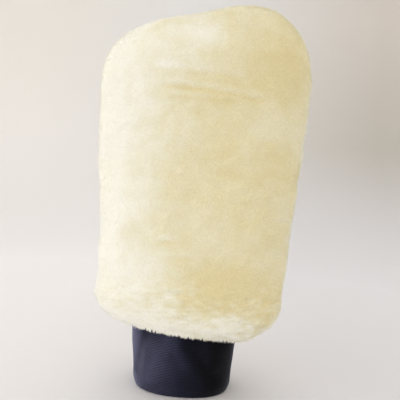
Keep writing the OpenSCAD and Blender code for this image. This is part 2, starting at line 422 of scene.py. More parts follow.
def make_stage():
    """A pale round floor that sweeps up into a wall all round, with painted shade that darkens it towards +X,
    most on the lower wall.
    """
    m, tree, p = new_material("stage_paper", (0.6, 0.6, 0.6), 0.9)
    where = add(tree, "ShaderNodeTexCoord")
    axes = add(tree, "ShaderNodeSeparateXYZ")
    tree.links.new(where.outputs["Object"], axes.inputs["Vector"])
    # Painted shade: the wall and the floor get darker towards +X, the lower wall most
    side = share_between(tree, axes.outputs["X"], -0.8, 0.8)
    low_wall = ramp(tree, side, [
        (0.17, (0.79, 0.775, 0.755)), (0.48, (0.685, 0.675, 0.66)), (0.83, (0.41, 0.385, 0.34)),
    ])
    high_wall = ramp(tree, side, [
        (0.17, (0.785, 0.76, 0.715)), (0.48, (0.715, 0.715, 0.715)), (0.83, (0.56, 0.515, 0.465)),
    ])
    floor = ramp(tree, side, [(0.39, (0.73, 0.715, 0.71)), (0.61, (0.63, 0.625, 0.64))])
    up_the_wall = share_between(tree, axes.outputs["Z"], 0.25, 0.75)
    off_the_floor = share_between(tree, axes.outputs["Z"], 0.0, 0.35)
    wall = blend_colours(tree, "MIX", up_the_wall, low_wall, high_wall)
    tree.links.new(blend_colours(tree, "MIX", off_the_floor, floor, wall), p.inputs["Base Color"])
    flat, sweep, height = 700.0, 500.0, 2400.0
    turn = np.linspace(0, np.pi / 2, 16)
    radii = np.concatenate([[flat / 2], flat + sweep * np.sin(turn), [flat + sweep]])
    heights = np.concatenate([[0], sweep * (1 - np.cos(turn)), [height]])
    around = np.linspace(0, 2 * np.pi, 96, endpoint=False)
    rings = [
        np.stack([r * np.cos(around), r * np.sin(around), 0 * around + z], 1) for r, z in zip(radii, heights)
    ]
    points = np.concatenate([*rings, [[0, 0, 0]]])
    cols, j = len(around), np.arange(len(around))
    after = (j + 1) % cols
    tri = []
    for ring in range(0, (len(radii) - 1) * cols, cols):
        tri.append(np.stack([ring + j, ring + cols + j, ring + cols + after], 1))
        tri.append(np.stack([ring + j, ring + cols + after, ring + after], 1))
    tri.append(np.stack([0 * j + len(points) - 1, j, after], 1))
    stage = mesh_object("stage", points, np.concatenate(tri), m)
    stage.visible_shadow = False


def make_camera():
    """A near, level camera in front of the palm, rolled so that the mitt leans as on the raised hand."""
    centre = Vector((0.0036, -0.400, 0.1528))
    seen_height = 0.332
    lean = math.radians(4.6)
    data = bpy.data.cameras.new("camera")
    data.sensor_width = 36.0
    data.lens = data.sensor_width * -centre.y / seen_height
    data.clip_start = 0.01
    ob = bpy.data.objects.new("camera", data)
    right = Vector((math.cos(lean), 0, math.sin(lean)))
    up = Vector((-math.sin(lean), 0, math.cos(lean)))
    back = Vector((0, -1, 0))
    ob.matrix_world = Matrix.Translation(centre) @ Matrix((right, up, back)).transposed().to_4x4()
    bpy.context.scene.collection.objects.link(ob)
    bpy.context.scene.camera = ob


def make_lights():
    world = bpy.data.worlds.new("room")
    world.use_nodes = True
    background = world.node_tree.nodes["Background"]
    background.inputs["Color"].default_value = (1.0, 1.0, 1.0, 1)
    background.inputs["Strength"].default_value = 0.24
    bpy.context.scene.world = world
    cool, plain, warm = (0.97, 1.0, 1.05), (1.0, 1.0, 1.0), (1.0, 0.98, 0.95)
    # Name, the way it comes from, how wide it is in degrees, strength and colour
    soft_sun("window_front", (-0.8, -0.6, 0.3), 60, 0.31, cool)
    soft_sun("window_side", (-1, -0.05, 0.15), 60, 0.42, cool)
    soft_sun("window_high", (-0.8, -0.2, 0.9), 60, 0.25, cool)
    soft_sun("window_low", (-1, -0.4, -0.3), 50, 0.15, cool)
    soft_sun("front", (0.05, -1, 0.25), 60, 0.09, plain)
    soft_sun("front_high", (-0.2, -0.8, 0.9), 60, 0.36, plain)
    soft_sun("front_low", (0, -1, -0.45), 50, 0.46, plain)
    soft_sun("right_front", (0.8, -0.6, 0.3), 60, 0.22, warm)
    soft_sun("right", (1, -0.05, 0.2), 60, 0.55, warm)
    soft_sun("back_high", (-0.25, 0.7, 0.8), 60, 0.51, plain)
    soft_sun("back_left", (-0.7, 0.7, 0.3), 60, 0.53, plain)
    soft_sun("back_right", (0.7, 0.7, 0.3), 60, 0.61, plain)
    soft_sun("top", (0, -0.05, 1), 60, 0.19, plain)


bpy.context.scene.view_settings.view_transform = "Standard"
make_stage()
make_camera()
make_lights()


# ---- Wool ----

WOOL_ROOT = (0.71, 0.62, 0.37)
WOOL_WARM = (0.735, 0.68, 0.445)
WOOL_TIP = (0.79, 0.76, 0.64)
WOOL_PALE = (0.85, 0.83, 0.75)
# How far the dense under-wool lies below the sheared surface
COAT_DEPTH = 1.1

# Partings, where the wool falls two ways: side, from x, to x, height, slope, and how strongly it parts
PARTINGS = (
    (-1, -44, 34, 248, -0.03, 0.4),
    (-1, -34, 50, 236, -0.06, 0.9),
    (-1, -30, 34, 227, 0.02, 0.5),
    (-1, -30, -9, 119, 0.03, 0.9),
    (-1, -26, 8, 108, 0.0, 0.4),
    (-1, -14, 12, 82, -0.1, 0.4),
    (-1, 8, 42, 77, -0.12, 0.9),
    (-1, 20, 52, 63, -0.16, 0.5),
    (1, -60, 40, 232, 0.08, 0.7),
    (1, -20, 60, 160, -0.07, 0.5),
    (1, -46, 10, 98, 0.05, 0.7),
)

# Broad patches of paler (above 0) or warmer wool: side, x, height, half width, half height, amount. The tall
# pale patch at x -66 on the palm is painted light on its lit -X side.
PATCHES = (
    (-1, -2, 279, 22, 9, 0.35),
    (-1, 30, 88, 34, 20, -0.6),
    (-1, -14, 82, 40, 20, 0.12),
    (-1, 62, 250, 26, 26, -0.35),
    (-1, 0, 236, 40, 9, -0.3),
    (-1, 36, 60, 20, 6, 0.5),
    (-1, -66, 180, 16, 130, 0.3),
    (-1, 8, 168, 36, 60, -0.22),
    (-1, -42, 165, 22, 90, 0.13),
    (1, 20, 200, 40, 30, 0.3),
    (1, -20, 110, 40, 25, -0.35),
)


def parted(points):
    """Signed distance from each parting, how much each point belongs to it, and its strength."""
    x, y, z = points[..., 0], points[..., 1], points[..., 2]
    wander = 1.6 * noise_at(points, 14.0, 5)
    for side, x0, x1, height, slope, strength in PARTINGS:
        inside = ease((x - x0) / 10) * ease((x1 - x) / 10) * (np.sign(y) == side)
        yield z - (height + slope * (x - x0)) - wander, inside * strength


def ruffled(points):
    """How unevenly the wool stands near the hem, where the cuff's join bends it: most on the right."""
    return (1 - ease((points[..., 2] - 78) / 30)) * (0.45 + 0.55 * ease((points[..., 0] + 45) / 45))


def relief(points):
    """How far the sheared surface stands out or in at each point."""
    height = 1.1 * noise_at(points, 22.0, 1) + 0.6 * noise_at(points, 9.0, 2)
    height = height + 0.3 * noise_at(points, 4.0, 8) + 0.2 * noise_at(points * [0.6, 0.6, 1], 1.9, 15)
    height = height + 1.1 * ruffled(points) * noise_at(points * [0.7, 0.7, 1.3], 5.5, 13)
    for off, amount in parted(points):
        height = height - amount * (0.7 * np.exp(-((off / 2.4) ** 2)) - 0.5 * np.exp(-(((off - 4) / 3) ** 2)))
    return height


def combing(points):
    """How far the tips lean along the skin at each point, as a vector in millimetres."""
    lean = noise_vectors(points, 45.0, 3) * 2.6 + noise_vectors(points, 10.0, 4) * 1.6
    lean[..., 2] -= 0.9
    for off, amount in parted(points):
        lean[..., 2] += amount * 1.7 * np.sign(off) * np.exp(-np.abs(off) / 4.0)
    return lean + ruffled(points)[..., None] * noise_vectors(points, 6.0, 12) * 2.4


def tone_and_painted_light(points):
    """How pale the wool is at each point, from 0 to 1: its own uneven tone, with painted light and shade
    worked in.
    """
    x, y, z = points[..., 0], points[..., 1], points[..., 2]
    front = ease(0.5 - y / 20)
    tone = 0.52 + 0.24 * noise_at(points, 32.0, 7) + 0.16 * noise_at(points, 9.0, 9)
    # Painted light: paler round the hem, whose wool faces down. On the palm, painted light towards -X and
    # painted shade towards +X
    tone = tone + 0.45 * np.exp(-(((z - 48) / 9) ** 2)) - 0.27 * np.clip(x / 60, -1, 1) * front
    # Painted light: paler along the mitt's edges, near the parting plane
    tone = tone + 0.4 * (1 - ease(np.abs(y) / 34))
    tone = tone + 0.5 * ruffled(points) * noise_at(points * [0.6, 0.6, 1.6], 4.0, 17)
    # At each parting: painted shade in the groove, and a painted highlight on the lifted wool just beside it
    for off, amount in parted(points):
        tone = tone - amount * (0.3 * np.exp(-((off / 1.6) ** 2)) - 0.3 * np.exp(-(((off - 4) / 2.5) ** 2)))
    for side, x0, z0, half_w, half_h, amount in PATCHES:
        far = ((x - x0) / half_w) ** 2 + ((z - z0) / half_h) ** 2
        tone = tone + amount * np.exp(-far) * (front if side < 0 else 1 - front)
    return tone


def below(v, phi, depth):
    """A place this far below the sheared surface, towards the hide."""
    top, foot = tips(v, phi), roots(v, phi)
    reach = np.linalg.norm(foot - top, axis=-1)
    return top + (foot - top) * np.minimum(depth / reach, 1)[..., None]


def outward(v, phi):
    return surface_frame(tips, np.clip(v, 1e-3, 1 - 1e-3), phi)


def wool_material():
    """Strand colour from two attributes: tone, one value for each strand, and along, from foot to tip."""
    m, tree, p = new_material("wool", WOOL_TIP, 1.0, Specular_IOR_Level=0.0)
    along = add(tree, "ShaderNodeAttribute", attribute_name="along").outputs["Fac"]
    tone = add(tree, "ShaderNodeAttribute", attribute_name="tone").outputs["Fac"]
    # Painted shade: each strand is darker and warmer towards its foot, in place of the shadow that the
    # strands don't throw
    warm = ramp(tree, along, [(0.0, WOOL_ROOT), (0.5, WOOL_WARM), (1.0, WOOL_WARM)])
    pale = ramp(tree, along, [(0.0, WOOL_TIP), (0.5, WOOL_PALE), (1.0, WOOL_PALE)])
    tree.links.new(blend_colours(tree, "MIX", tone, warm, pale), p.inputs["Base Color"])
    return m


def undercoat_material():
    m, tree, p = new_material("undercoat", WOOL_WARM, 1.0, Specular_IOR_Level=0.0)
    fine = object_noise(tree, 700.0, 2.0)
    tone = add(tree, "ShaderNodeAttribute", attribute_name="tone").outputs["Fac"]
    # Painted shade: the under-wool is a little darker and warmer than the tips of the same tone
    colour = ramp(tree, tone, [(0.0, WOOL_ROOT), (0.5, mixed(WOOL_WARM, WOOL_TIP, 0.4)), (1.0, WOOL_PALE)])
    speckle = ramp(tree, fine, [(0.3, (0.93, 0.92, 0.88)), (0.7, (1, 1, 1))])
    tree.links.new(blend_colours(tree, "MULTIPLY", 1.0, colour, speckle), p.inputs["Base Color"])
    bump(tree, p, fine, 0.0006)
    return m


def shift_fringe(points):
    """The lowest wool rises a little in front and behind, and hangs lower towards +X."""
    fade = 1 - ease((points[..., 2] - FLEECE_BOTTOM_Z) / 45.0)
    moved = points.copy()
    x = points[..., 0]
    tilt = 0.075 * x * (1 - ease((x - 40) / 35))
    rise = 1.0 + 5.5 * np.clip(np.abs(points[..., 1]) / FLEECE_BOTTOM_HD, 0, 1) - tilt
    moved[..., 2] += fade * rise
    return moved


def undercoat(name, side, material, node):
    """The dense under-wool of one skin, a closed layer from the hide out to just below the tips."""
    v, phi = half_grid(236, 206, side)
    normal, _ = outward(v, phi)
    top = tips(v, phi)
    outer = below(v, phi, COAT_DEPTH) + normal * relief(top)[..., None]
    inner = roots(v, phi)
    one, quarter = np.array(1.0), np.array(side * np.pi / 2)
    apex = [below(one, quarter, COAT_DEPTH), roots(one, quarter)]
    outer, inner = (to_side(shift_fringe(g), side, COAT_GAP) for g in (outer, inner))
    apex = [to_side(a, side, COAT_GAP) for a in apex]
    if side < 0:
        outer, inner, top = outer[:, ::-1], inner[:, ::-1], top[:, ::-1]
    ob = half_shell(name, outer, inner, apex[0], apex[1], material)
    tone = np.clip(tone_and_painted_light(top), 0, 1).ravel()
    tone = np.concatenate([tone, np.zeros(tone.size), [0.5, 0]]).astype(np.float32)
    ob.data.attributes.new("tone", "FLOAT", "POINT").data.foreach_set("value", tone)
    place(ob, "wool", node)


LOCK_SPACING = 1.9
STRANDS_PER_LOCK = 14
LOCK_RADIUS = 1.3
STRAND_W = 0.5
# How much a strand's shading follows its own round shape, and not the coat's surface
OWN_SHADING = 0.1
# A strand's faces, by corner, with the tip last, and which of them look down at the skin
SPIKE = np.array([[0, 1, 3], [1, 2, 3], [2, 0, 3], [2, 1, 0]])
UNDERSIDES = [0, 3]


def lock_places(rng):
    """Evenly scattered v and phi over the whole sheared surface."""
    drawn, tried = 700_000, 150_000
    v, phi = rng.random(drawn), rng.random(drawn) * 2 * np.pi
    _, area = outward(v, phi)
    pick = rng.choice(drawn, tried, replace=False, p=area / area.sum())
    v, phi = v[pick], phi[pick]
    points = tips(v, phi)
    tree = kdtree.KDTree(tried)
    for i, p in enumerate(points):
        tree.insert(p, i)
    tree.balance()
    taken = np.zeros(tried, bool)
    kept = []
    for i in range(tried):
        if taken[i]:
            continue
        kept.append(i)
        for _, j, _ in tree.find_range(points[i], LOCK_SPACING):
            taken[j] = True
    return v[kept], phi[kept]


def lit_from_below(points, normals):
    """Normals turned level in the lowest wool, where light comes through and brightens the underside."""
    low = 1 - ease((points[..., 2] - 50) / 30)
    flat = normals * [1, 1, 0.15]
    return unit(mix(normals, unit(flat), low[..., None]))


def strands(places, rng):
    """Every strand's foot, tip, outward normal and tone."""
    v, phi = places
    tip = tips(v, phi)
    normal, _ = outward(v, phi)
    out = relief(tip)[:, None]
    foot = below(v, phi, COAT_DEPTH + 0.5) + normal * out
    lean = combing(tip)
    lean -= normal * (lean * normal).sum(-1, keepdims=True)
    height = 0.1 * rng.standard_normal(len(v)) - 0.05 * (lean**2).sum(-1)
    end = tip + lean + normal * (out + height[:, None])
    count = STRANDS_PER_LOCK
    east = unit(np.cross(normal, [0.13, 0.21, 0.97]))
    north = np.cross(normal, east)
    angle = rng.random((len(v), count)) * 2 * np.pi
    radius = LOCK_RADIUS * np.sqrt(rng.random((len(v), count)))
    spread = (
        (radius * np.cos(angle))[..., None] * east[:, None]
        + (radius * np.sin(angle))[..., None] * north[:, None]
    )
    stray = rng.standard_normal((len(v), count, 3)) * 0.35
    feet = foot[:, None] + spread
    up = 0.2 * rng.standard_normal((len(v), count, 1))
    ends = end[:, None] + spread * 0.95 + stray + normal[:, None] * up
    tone = tone_and_painted_light(tip)[:, None] + 0.05 * rng.standard_normal((len(v), 1))
    tone = tone + 0.03 * rng.standard_normal((len(v), count))
    normals = np.repeat(lit_from_below(tip, normal)[:, None], count, 1)
    return [a.reshape(-1, *a.shape[2:]) for a in (feet, ends, normals, np.clip(tone, 0, 1))]


def strand_mesh(name, feet, ends, normals, tone, rng, material):
    """Tapered strands: each is a closed spike with three sides."""
    count = len(feet)
    axis = unit(ends - feet)
    east = unit(np.cross(axis, normals + 1e-3 * axis[:, [1, 2, 0]]))
    north = np.cross(east, axis)
    turn = np.array([11, 7, 3]) * np.pi / 6
    width = STRAND_W * (0.75 + 0.5 * rng.random(count))[:, None, None] / 2
    across, up = np.cos(turn)[:, None] * east[:, None], np.sin(turn)[:, None] * north[:, None]
    round_way = across + up
    points = np.concatenate([feet[:, None] + (across + 0.4 * up) * width, ends[:, None]], 1)
    faces = (np.arange(count)[:, None, None] * 4 + SPIKE).reshape(-1, 3)
    ob = mesh_object(name, points.reshape(-1, 3), faces, material)
    me = ob.data
    # Three corners at the foot and one at the tip
    along = np.tile([0.0, 0.0, 0.0, 1.0], count)
    for key, values in (("along", along), ("tone", np.repeat(tone, 4))):
        me.attributes.new(key, "FLOAT", "POINT").data.foreach_set("value", values.astype(np.float32))
    # A strand keeps to a narrow upright strip of the texture, at the place of its tone
    spread = np.array([-0.002, 0.0, 0.002, 0.0])
    uv = np.stack([0.004 + 0.992 * np.repeat(tone, 4) + np.tile(spread, count), 0.02 + 0.96 * along], 1)
    me.uv_layers.new(name="OFBake").data.foreach_set("uv", uv[faces.ravel()].astype(np.float32).ravel())
    shading = unit(np.concatenate([round_way * OWN_SHADING, np.zeros((count, 1, 3))], 1) + normals[:, None])
    # The two upper faces are shaded with the coat's surface. The underside and the foot can't be, because
    # they face away from it, so they lean towards it as far as their own direction allows.
    under = unit(np.cross(points[:, 1] - points[:, 0], points[:, 3] - points[:, 0]))
    loops = shading[:, SPIKE]
    loops[:, UNDERSIDES] = unit(under + 0.8 * normals)[:, None, None]
    me.normals_split_custom_set(loops.reshape(-1, 3))
    # Light passes through fine wool, so single strands throw no shadow. The dense coat under them does.
    ob.visible_shadow = False
    return ob


def fringe(rng):
    """Short pointed tufts round the lowest wool, which hang over the top of the cuff."""
    count, each = 900, 14
    phi = (np.arange(count) + 0.5 * rng.standard_normal(count)) / count * 2 * np.pi
    v = 0.03 * rng.random(count)
    start = tips(v, phi)
    away = unit(start * [1, 1, 0])
    uneven = 0.5 + 0.5 * noise_at(start, 5.0, 14)
    length = 0.2 + 1.4 * uneven + 1.3 * rng.random(count) ** 3
    drop = np.stack([0.7 * rng.standard_normal(count), 0.4 * rng.standard_normal(count), -length], 1)
    end = start + drop + away * (0.3 + 0.9 * rng.random(count))[:, None]
    feet = start[:, None] + 0.7 * rng.standard_normal((count, each, 3)) + away[:, None] * 1.2 + [0, 0, 4.0]
    ends = end[:, None] + 0.3 * rng.standard_normal((count, each, 3))
    normals = np.repeat(away[:, None], each, 1)
    tone = np.repeat(np.clip(tone_and_painted_light(start), 0, 1) + 0.05 * rng.standard_normal(count), each)
    shape = [a.reshape(-1, 3) for a in (feet, ends, normals)]
    return [*shape, np.clip(tone, 0, 1), np.repeat(np.sin(phi), each)]


# Bands of the pile and their reach in v, one piece each, so that no mesh is too heavy
BANDS = (
    ("hem", 0.0, 0.16),
    ("low", 0.16, 0.34),
    ("middle", 0.34, 0.52),
    ("high", 0.52, 0.7),
    ("crown", 0.7, 1.0),
)


def make_wool():
    rng = np.random.default_rng(11)
    wool, under = wool_material(), undercoat_material()
    v, phi = lock_places(rng)
    tufts = fringe(rng)
    for side, skin in ((-1, "palm"), (1, "back")):
        undercoat(f"{skin}_undercoat", side, under, f"{skin}_fleece")
        mine = np.sign(np.sin(phi)) == side
        for band, low, high in BANDS:
            chosen = mine & (v >= low) & (v < high)
            feet, ends, normals, tone = strands((v[chosen], phi[chosen]), rng)
            feet, ends = shift_fringe(feet), shift_fringe(ends)
            ob = strand_mesh(f"{skin}_wool_{band}", feet, ends, normals, tone, rng, wool)
            place(ob, "wool", f"{skin}_fleece")
        *parts, turn = tufts
        feet, ends, normals, tone = (a[np.sign(turn) == side] for a in parts)
        feet, ends = shift_fringe(feet), shift_fringe(ends)
        ob = strand_mesh(f"{skin}_wool_fringe", feet, ends, normals, tone, rng, wool)
        place(ob, "wool", f"{skin}_fleece")


make_wool()

# ---- Cuff ----

KNIT = (0.029, 0.0315, 0.063)
# Painted light for the cuff's -X side and painted shade for its +X side
PAINTED_LIGHT_KNIT = (0.38, 0.38, 0.58)
PAINTED_SHADE_KNIT = (0.003, 0.003, 0.0045)
RIB_STEP = 1.25
RIB_HEIGHT = 0.11
# Soft creases of the worn cuff: side, x and z at the two ends, half width, and how far they stand out
CREASES = (
    (-1, -8, 48, -27, 8, 4.0, 0.8),
    (-1, 2, 50, 22, 14, 5.0, -0.9),
    (-1, 8, 40, 24, 22, 3.0, 0.5),
    (-1, -31, 46, -36, 14, 3.0, -0.5),
    (-1, -10, 45, 1, 26, 3.5, 0.8),
    (1, 14, 48, -18, 10, 4.5, 0.8),
    (1, -10, 50, -30, 24, 4.0, -0.7),
)


def drape(x, y, z):
    """How far the worn cuff stands out from its plain shape."""
    points = np.stack(np.broadcast_arrays(x, y, z), -1)
    out = 0.7 * noise_at(points, 26.0, 21) + 0.25 * noise_at(points, 9.0, 22)
    for side, x0, z0, x1, z1, width, height in CREASES:
        run = np.array([x1 - x0, z1 - z0])
        t = np.clip(((x - x0) * run[0] + (z - z0) * run[1]) / (run @ run), 0, 1)
        off = np.hypot(x - x0 - t * run[0], z - z0 - t * run[1])
        out = out + height * np.exp(-((off / width) ** 2)) * (np.sign(y) == side)
    return out * ease(z / 14) * (1 - ease((z - 50) / 8))


def cuff_point(phi, inset, z):
    """A point of the cuff, an inset inside its outer face, and the outward direction there."""
    power = CUFF_ROUND - 1
    drawn_in = 1.6 * (1 - ease(z / 9)) ** 1.5
    hw, hd = cuff_hw(z) - drawn_in, cuff_hd(z) - drawn_in
    c, s = squircle(phi, CUFF_ROUND)
    x, y = hw * c, hd * s
    slope_x, slope_y = np.sign(c) * np.abs(c) ** power / hw, np.sign(s) * np.abs(s) ** power / hd
    out = unit(np.stack(np.broadcast_arrays(slope_x, slope_y, 0 * z), -1))
    # The knit bags out a little on -X
    slump = 1.7 * ease(z / 40) * (1 - ease((z - 50) / 8)) * np.clip(-c, 0, 1) ** 2
    away = drape(x, y, z) + slump
    base = np.stack(np.broadcast_arrays(x, y, z), -1)
    return base + out * (away - inset)[..., None], out


def loop_mesh(name, rings, material):
    """A closed band from rings of points: one row of the array for each step across the band's outline."""
    rows, cols = rings.shape[:2]
    i, j = np.meshgrid(np.arange(rows), np.arange(cols), indexing="ij")
    a = i * cols + j
    b = i * cols + (j + 1) % cols
    c = ((i + 1) % rows) * cols + (j + 1) % cols
    d = ((i + 1) % rows) * cols + j
    faces = np.stack([a, b, c, d], -1).reshape(-1, 4)
    return mesh_object(name, rings.reshape(-1, 3), faces, material)


def along_outline(outline, step):
    """Points every step along a polyline, and the distance of each from its start."""
    outline = np.asarray(outline, float)
    reach = np.concatenate([[0], np.cumsum(np.linalg.norm(np.diff(outline, axis=0), axis=1))])
    at = np.linspace(0, reach[-1], max(2, int(reach[-1] / step) + 1))
    return np.stack([np.interp(at, reach, outline[:, k]) for k in (0, 1)], 1), at


def sweep_round(outline, cols, ridge=None):
    """Rings round the cuff, from rows of (inset, height). Ridge is how far each row stands out."""
    phi = np.linspace(0, 2 * np.pi, cols, endpoint=False)[None, :]
    inset, z = outline[:, :1] + 0 * phi, outline[:, 1:] + 0 * phi
    points, out = cuff_point(phi + 0 * inset, inset, z)
    if ridge is not None:
        turn = np.gradient(outline, axis=0)
        facing = unit(np.stack([-turn[:, 1], turn[:, 0]], 1))
        push = facing * ridge[:, None]
        points = points + out * -push[:, :1, None] + np.array([0, 0, 1]) * push[:, 1:, None]
    return points


def half_circle(radius, middle, count):
    """The turned hem's outline, as (inset, height), from the outer face round to the inner."""
    a = np.linspace(0, np.pi, count)
    return np.stack([middle - radius * np.cos(a), middle - radius * np.sin(a)], 1)


def make_cuff():
    """The doubled knit tube, ribbed on its faces and turned at the hem."""
    m, tree, p = new_material(
        "cuff_knit", KNIT, 0.85, Specular_IOR_Level=0.1, Sheen_Weight=0.2, Sheen_Roughness=0.35
    )
    p.inputs["Sheen Tint"].default_value = (0.7, 0.76, 1.0, 1)
    where = add(tree, "ShaderNodeTexCoord")
    axes = add(tree, "ShaderNodeSeparateXYZ")
    tree.links.new(where.outputs["Object"], axes.inputs["Vector"])
    across = share_between(tree, axes.outputs["X"], -0.048, 0.048)
    # Painted light and shade: the knit is paler and bluer towards -X, where the lamps come from, and near
    # black towards +X
    lit_and_shaded = ramp(tree, across, [(0.04, PAINTED_LIGHT_KNIT), (0.2, mixed(PAINTED_LIGHT_KNIT, KNIT, 0.8)), (0.5, KNIT), (0.75, PAINTED_SHADE_KNIT)])
    ribs = add(tree, "ShaderNodeTexWave", bands_direction="Z")
    ribs.inputs["Scale"].default_value = 2 * math.pi / (20 * RIB_STEP * MM)
    ribs.inputs["Distortion"].default_value = 0.6
    ribs.inputs["Phase Offset"].default_value = math.pi * (1 - 2 * CUFF_H / RIB_STEP)
    tree.links.new(where.outputs["Object"], ribs.inputs["Vector"])
    fine = object_noise(tree, 1500.0, 2.0)
    # Painted shade: thin dark lines across the knit, one for each rib
    lines = ramp(tree, ribs.outputs["Fac"], [(0.0, (0.35, 0.35, 0.37)), (1.0, (1.0, 1.0, 1.0))])
    speckle = ramp(tree, fine, [(0.3, (0.6, 0.6, 0.62)), (0.7, (1.0, 1.0, 1.0))])
    creased = add(tree, "ShaderNodeAttribute", attribute_name="creased").outputs["Fac"]
    # Painted shade in the hollows of the folds and a painted highlight on their crests
    folds = ramp(tree, creased, [(0.0, (0.28, 0.28, 0.3)), (0.5, (0.72, 0.72, 0.72)), (1.0, (1.0, 1.0, 1.0))])
    lit_and_shaded = blend_colours(tree, "MULTIPLY", 1.0, lit_and_shaded, folds)
    colour = blend_colours(tree, "MULTIPLY", 1.0, lit_and_shaded, lines)
    tree.links.new(blend_colours(tree, "MULTIPLY", 1.0, colour, speckle), p.inputs["Base Color"])
    bump(tree, p, fine, 0.00025)
    radius = CUFF_T / 2
    outer = np.concatenate([[[0, CUFF_H]], half_circle(radius, radius, 12), [[CUFF_T, CUFF_H]]])
    shown, reach = along_outline(outer, 0.31)
    ridge = RIB_HEIGHT * np.cos(2 * np.pi * reach / RIB_STEP)
    inner = half_circle(radius - PLY_T, radius, 7)[::-1]
    inner = np.concatenate([[[CUFF_T - PLY_T, CUFF_H]], inner, [[PLY_T, CUFF_H]]])
    hidden, _ = along_outline(inner, 3.0)
    ridge = np.concatenate([ridge, np.zeros(len(hidden))])
    rings = sweep_round(np.concatenate([shown, hidden]), 180, ridge)
    ob = loop_mesh("cuff", rings, m)
    # How far each point stands out, which sets the painted fold shade and highlight
    creased = np.clip(0.5 + 0.7 * drape(*np.moveaxis(rings, -1, 0)), 0, 1).astype(np.float32)
    ob.data.attributes.new("creased", "FLOAT", "POINT").data.foreach_set("value", creased.ravel())
    place(ob, "cuff_knit", "cuff_band")


def make_elastic():
    """The corded band in the fold of the hem."""
    m, tree, p = new_material("elastic", (0.75, 0.75, 0.75), 0.6)
    tint = ramp(tree, object_noise(tree, 1500.0), [(0.3, (0.66, 0.66, 0.66)), (0.7, (0.8, 0.8, 0.8))])
    tree.links.new(tint, p.inputs["Base Color"])
    low, high = box_mm("hem_elastic")
    thick = 1.0
    inset = PLY_T + (CUFF_T - 2 * PLY_T - thick) / 2
    steps = 88
    rows = np.linspace(high[2], low[2], steps)
    cords = 0.07 * np.cos(2 * np.pi * np.arange(steps) / 4)
    outer = np.stack([0 * rows + inset, rows], 1)
    inner = np.stack([0 * rows + inset + thick, rows[::-1]], 1)
    rings = sweep_round(np.concatenate([outer, inner]), 150, np.concatenate([cords, cords]))
    ob = loop_mesh("hem_elastic_band", rings, m)
    place(ob, "elastic", "hem_elastic")


def make_tape():
    """Twill tape round the inside of the cuff's join."""
    m, tree, p = new_material("twill_tape", (0.16, 0.18, 0.22), 0.8)
    where = add(tree, "ShaderNodeTexCoord")
    wave = add(tree, "ShaderNodeTexWave", bands_direction="DIAGONAL")
    wave.inputs["Scale"].default_value = 260.0
    tree.links.new(where.outputs["Object"], wave.inputs["Vector"])
    tint = ramp(tree, wave.outputs["Fac"], [(0.2, (0.13, 0.15, 0.19)), (0.8, (0.19, 0.21, 0.25))])
    tree.links.new(tint, p.inputs["Base Color"])
    bump(tree, p, wave.outputs["Fac"], 0.0001)
    low, high = box_mm("seam_tape")
    inset, thick, step_z = CUFF_T + 0.3, 0.8, 70.5
    path, _ = along_outline([[inset, high[2]], [inset, step_z], [inset, CUFF_H - 1], [inset, low[2]]], 1.0)
    back = path[::-1] + [thick, 0]
    rings = sweep_round(np.concatenate([path, back]), 140)
    ob = loop_mesh("join_tape", rings, m)
    place(ob, "tape", "seam_tape")


def make_label():
    """A blank satin label that hangs inside the opening, with a slight curl."""
    m, tree, p = new_material("label_satin", (0.85, 0.85, 0.83), 0.35)
    tint = ramp(tree, object_noise(tree, 500.0), [(0.3, (0.82, 0.82, 0.8)), (0.7, (0.87, 0.87, 0.85))])
    tree.links.new(tint, p.inputs["Base Color"])
    low, high = box_mm("care_label")
    u, t = np.meshgrid(np.linspace(0, 1, 22), np.linspace(0, 1, 32), indexing="ij")
    x, z = mix(low[0], high[0], u), mix(high[2], low[2], t)
    sag = -1.8 * t**2 - 0.5 * (2 * u - 1) ** 2 * t
    thick = 0.25
    sheets = [np.stack([x, low[1] + sag + d, z], -1) for d in (0.0, thick)]
    rows, cols = x.shape
    count = rows * cols
    i, j = np.meshgrid(np.arange(rows - 1), np.arange(cols - 1), indexing="ij")
    a = (i * cols + j).ravel()
    faces = [np.stack([a, a + cols, a + cols + 1, a + 1], 1)]
    faces.append(count + faces[0][:, ::-1])
    rim = np.concatenate([
        np.arange(cols), (np.arange(1, rows) + 1) * cols - 1,
        count - 2 - np.arange(cols - 1), (rows - 2 - np.arange(rows - 2)) * cols,
    ])
    following = np.roll(rim, -1)
    faces.append(np.stack([rim, following, following + count, rim + count], 1))
    points = np.concatenate([g.reshape(-1, 3) for g in sheets])
    ob = mesh_object("blank_label", points, np.concatenate(faces), m)
    place(ob, "label_satin", "care_label")


make_cuff()
make_elastic()
make_tape()
make_label()


# ---- Hides and linings ----

def pouch_layer(name, side, inset, thick, from_z, node, material, slot):
    """One half of a layer of the pouch, with the small waves of a real skin or knit."""
    rows, cols = 84, 90
    u, phi = half_grid(rows, cols, side)
    ripple = 0.09 * noise_at(pouch(inset, from_z, u, phi), 11.0, 31)
    outer = pouch(inset + ripple, from_z, u, phi)
    inner = pouch(inset + thick + ripple, from_z, u, phi)
    one, quarter = np.array(1.0), np.array(side * np.pi / 2)
    apex = [to_side(pouch(i, from_z, one, quarter), side) for i in (inset, inset + thick)]
    outer, inner = to_side(outer, side), to_side(inner, side)
    if side < 0:
        outer, inner = outer[:, ::-1], inner[:, ::-1]
    ob = half_shell(name, outer, inner, apex[0], apex[1], material)
    place(ob, slot, node)


